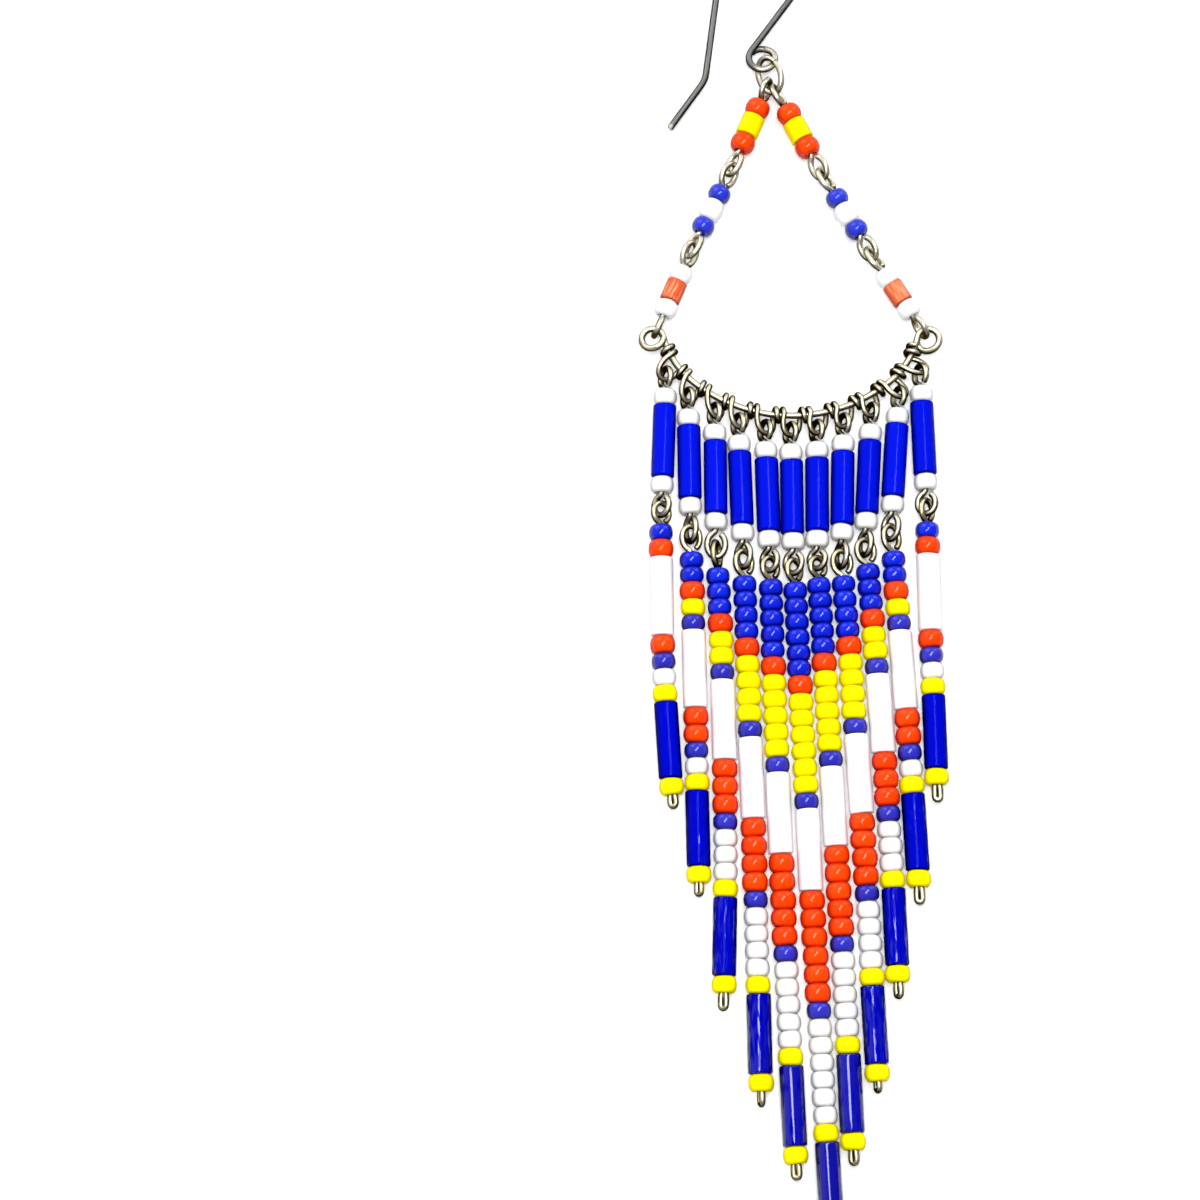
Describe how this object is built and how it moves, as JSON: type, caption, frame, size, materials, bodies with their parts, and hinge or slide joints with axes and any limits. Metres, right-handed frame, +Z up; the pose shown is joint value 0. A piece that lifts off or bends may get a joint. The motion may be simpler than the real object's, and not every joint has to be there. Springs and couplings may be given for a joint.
{
  "type": "beaded chandelier earring",
  "caption": "Long earring of glass beads: an ear hook, two side chains in a V, a bowed bar wound with wire, and a fringe of beaded strands that is longest in the middle.",
  "frame": {"origin": "middle of the earring's outline as it lies, on the surface that it lies on", "axes": "+Y from the strands' feet to the ear hook's crown, +X to the right in that view, +Z up from the surface"},
  "size_m": [0.0256, 0.1162, 0.0022],
  "materials": {
    "hook_steel": "bare drawn wire, dull grey",
    "ring_metal": "bare drawn wire, pale and worn",
    "bar_metal": "bare drawn wire, pale and worn",
    "winding_metal": "bare drawn wire, pale and worn",
    "link_metal": "bare drawn wire, pale and worn",
    "strand_metal": "bare drawn wire, a little yellower",
    "side_glass": "opaque glossy glass, orange, yellow, blue and white",
    "upper_glass": "glossy glass, blue tubes between white beads",
    "strand_glass": "opaque glossy glass, blue, orange, yellow and white"
  },
  "bodies": {
    "root": {"ear_hook": "hook_steel", "jump_ring": "ring_metal", "bar_wire": "bar_metal", "bar_winding": "winding_metal", "side_wire_left_1": "link_metal", "side_wire_left_2": "link_metal", "side_wire_left_3": "link_metal", "side_wire_right_1": "link_metal", "side_wire_right_2": "link_metal", "side_wire_right_3": "link_metal", "side_beads_left_1": "side_glass", "side_beads_left_2": "side_glass", "side_beads_left_3": "side_glass", "side_beads_right_1": "side_glass", "side_beads_right_2": "side_glass", "side_beads_right_3": "side_glass", "upper_wire_1": "link_metal", "upper_wire_2": "link_metal", "upper_wire_3": "link_metal", "upper_wire_4": "link_metal", "upper_wire_5": "link_metal", "upper_wire_6": "link_metal", "upper_wire_7": "link_metal", "upper_wire_8": "link_metal", "upper_wire_9": "link_metal", "upper_wire_10": "link_metal", "upper_wire_11": "link_metal", "upper_beads_1": "upper_glass", "upper_beads_2": "upper_glass", "upper_beads_3": "upper_glass", "upper_beads_4": "upper_glass", "upper_beads_5": "upper_glass", "upper_beads_6": "upper_glass", "upper_beads_7": "upper_glass", "upper_beads_8": "upper_glass", "upper_beads_9": "upper_glass", "upper_beads_10": "upper_glass", "upper_beads_11": "upper_glass", "strand_wire_1": "strand_metal", "strand_wire_2": "strand_metal", "strand_wire_3": "strand_metal", "strand_wire_4": "strand_metal", "strand_wire_5": "strand_metal", "strand_wire_6": "strand_metal", "strand_wire_7": "strand_metal", "strand_wire_8": "strand_metal", "strand_wire_9": "strand_metal", "strand_wire_10": "strand_metal", "strand_wire_11": "strand_metal", "strand_beads_1": "strand_glass", "strand_beads_2": "strand_glass", "strand_beads_3": "strand_glass", "strand_beads_4": "strand_glass", "strand_beads_5": "strand_glass", "strand_beads_6": "strand_glass", "strand_beads_7": "strand_glass", "strand_beads_8": "strand_glass", "strand_beads_9": "strand_glass", "strand_beads_10": "strand_glass", "strand_beads_11": "strand_glass"}
  },
  "joints": []
}
